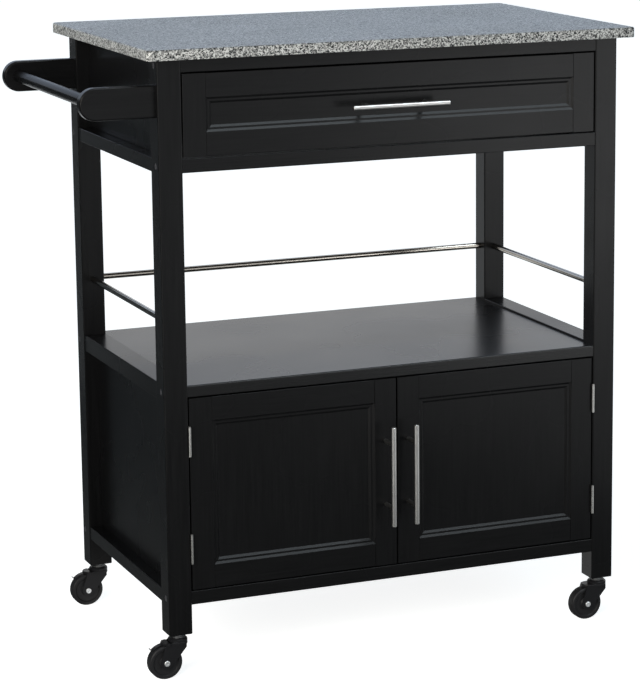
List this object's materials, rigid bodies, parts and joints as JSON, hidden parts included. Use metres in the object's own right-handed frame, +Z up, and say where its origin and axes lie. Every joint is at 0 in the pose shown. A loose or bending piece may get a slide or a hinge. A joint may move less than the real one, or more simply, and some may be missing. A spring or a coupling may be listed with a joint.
{
  "type": "kitchen cart",
  "caption": "Rolling kitchen cart with a granite top, a drawer, an open shelf with a gallery rail, a two-door cabinet, a side push handle and swivel casters.",
  "frame": {"origin": "on the floor, under the middle of the overall box", "axes": "+Z up, +X to the right seen from the front, +Y to the back; the handle is on the left, at -X"},
  "size_m": [0.8454, 0.4774, 0.914],
  "materials": {
    "granite": "polished speckled granite",
    "black_lacquer": "satin black lacquer on wood",
    "black_board": "matt black foil on hardboard",
    "brushed_steel": "brushed",
    "polished_steel": "polished",
    "nickel": "satin nickel plate",
    "zinc_steel": "zinc plate",
    "dark_bolt": "dark bolt heads",
    "catch_plastic": "moulded",
    "caster_metal": "black paint",
    "wheel_plastic": "moulded"
  },
  "bodies": {
    "carcass": {"granite_top": "granite", "leg_front_left": "black_lacquer", "leg_front_right": "black_lacquer", "leg_back_left": "black_lacquer", "leg_back_right": "black_lacquer", "front_top_rail": "black_lacquer", "front_lower_rail": "black_lacquer", "base_rail_front": "black_lacquer", "base_rail_back": "black_lacquer", "apron_back": "black_lacquer", "apron_side_rails": "black_lacquer", "shelf_side_rails": "black_lacquer", "base_side_rails": "black_lacquer", "side_aprons": "black_lacquer", "side_panels": "black_lacquer", "shelf": "black_lacquer", "cabinet_floor": "black_lacquer", "back_panel": "black_board", "handle_bar": "black_lacquer", "handle_brackets": "black_lacquer", "gallery_rails": "polished_steel", "frame_bolts": "dark_bolt", "drawer_channels": "zinc_steel", "hinge_leaves_frame": "nickel", "hinge_pins": "nickel", "door_catches": "catch_plastic", "caster_stems": "zinc_steel"},
    "drawer": {"drawer_front_stiles": "black_lacquer", "drawer_front_rails": "black_lacquer", "drawer_front_panel": "black_lacquer", "drawer_pull": "brushed_steel", "drawer_sides": "black_lacquer", "drawer_ends": "black_lacquer", "drawer_bottom": "black_board", "drawer_runners": "zinc_steel"},
    "door_left": {"door_left_stiles": "black_lacquer", "door_left_rails": "black_lacquer", "door_left_panel": "black_lacquer", "door_left_pull": "brushed_steel", "door_left_fittings": "nickel"},
    "door_right": {"door_right_stiles": "black_lacquer", "door_right_rails": "black_lacquer", "door_right_panel": "black_lacquer", "door_right_pull": "brushed_steel", "door_right_fittings": "nickel"},
    "fork_front_left": {"caster_fork_front_left": "caster_metal", "caster_axle_front_left": "zinc_steel"},
    "wheel_front_left": {"caster_wheel_front_left": "wheel_plastic"},
    "fork_back_left": {"caster_fork_back_left": "caster_metal", "caster_axle_back_left": "zinc_steel"},
    "wheel_back_left": {"caster_wheel_back_left": "wheel_plastic"},
    "fork_front_right": {"caster_fork_front_right": "caster_metal", "caster_axle_front_right": "zinc_steel"},
    "wheel_front_right": {"caster_wheel_front_right": "wheel_plastic"},
    "fork_back_right": {"caster_fork_back_right": "caster_metal", "caster_axle_back_right": "zinc_steel"},
    "wheel_back_right": {"caster_wheel_back_right": "wheel_plastic"},
    "pedal_front_left": {"brake_pedal_front_left": "caster_metal"},
    "pedal_back_left": {"brake_pedal_back_left": "caster_metal"}
  },
  "joints": [
    {"name": "drawer_slide", "type": "slide", "parent": "carcass", "child": "drawer", "axis": [0, -1, 0], "range_m": [0, 0.26]},
    {"name": "door_left_hinge", "type": "hinge", "parent": "carcass", "child": "door_left", "pos_m": [-0.27775, -0.20815, 0.27325], "axis": [0, 0, -1], "range_deg": [0, 110]},
    {"name": "door_right_hinge", "type": "hinge", "parent": "carcass", "child": "door_right", "pos_m": [0.36675, -0.20815, 0.27325], "axis": [0, 0, 1], "range_deg": [0, 110]},
    {"name": "swivel_front_left", "type": "hinge", "parent": "carcass", "child": "fork_front_left", "pos_m": [-0.29625, -0.18825, 0.0665], "axis": [0, 0, 1], "continuous": true},
    {"name": "roll_front_left", "type": "hinge", "parent": "fork_front_left", "child": "wheel_front_left", "pos_m": [-0.31675, -0.18825, 0.025], "axis": [0, 1, 0], "continuous": true},
    {"name": "swivel_back_left", "type": "hinge", "parent": "carcass", "child": "fork_back_left", "pos_m": [-0.29625, 0.19875, 0.0665], "axis": [0, 0, 1], "continuous": true},
    {"name": "roll_back_left", "type": "hinge", "parent": "fork_back_left", "child": "wheel_back_left", "pos_m": [-0.31675, 0.19875, 0.025], "axis": [0, 1, 0], "continuous": true},
    {"name": "swivel_front_right", "type": "hinge", "parent": "carcass", "child": "fork_front_right", "pos_m": [0.38525, -0.18825, 0.0665], "axis": [0, 0, 1], "continuous": true},
    {"name": "roll_front_right", "type": "hinge", "parent": "fork_front_right", "child": "wheel_front_right", "pos_m": [0.36475, -0.18825, 0.025], "axis": [0, 1, 0], "continuous": true},
    {"name": "swivel_back_right", "type": "hinge", "parent": "carcass", "child": "fork_back_right", "pos_m": [0.38525, 0.19875, 0.0665], "axis": [0, 0, 1], "continuous": true},
    {"name": "roll_back_right", "type": "hinge", "parent": "fork_back_right", "child": "wheel_back_right", "pos_m": [0.36475, 0.19875, 0.025], "axis": [0, 1, 0], "continuous": true},
    {"name": "brake_front_left", "type": "hinge", "parent": "fork_front_left", "child": "pedal_front_left", "pos_m": [-0.31275, -0.18825, 0.0516], "axis": [0, 1, 0], "range_deg": [0, 25]},
    {"name": "brake_back_left", "type": "hinge", "parent": "fork_back_left", "child": "pedal_back_left", "pos_m": [-0.31275, 0.19875, 0.0516], "axis": [0, 1, 0], "range_deg": [0, 25]}
  ]
}
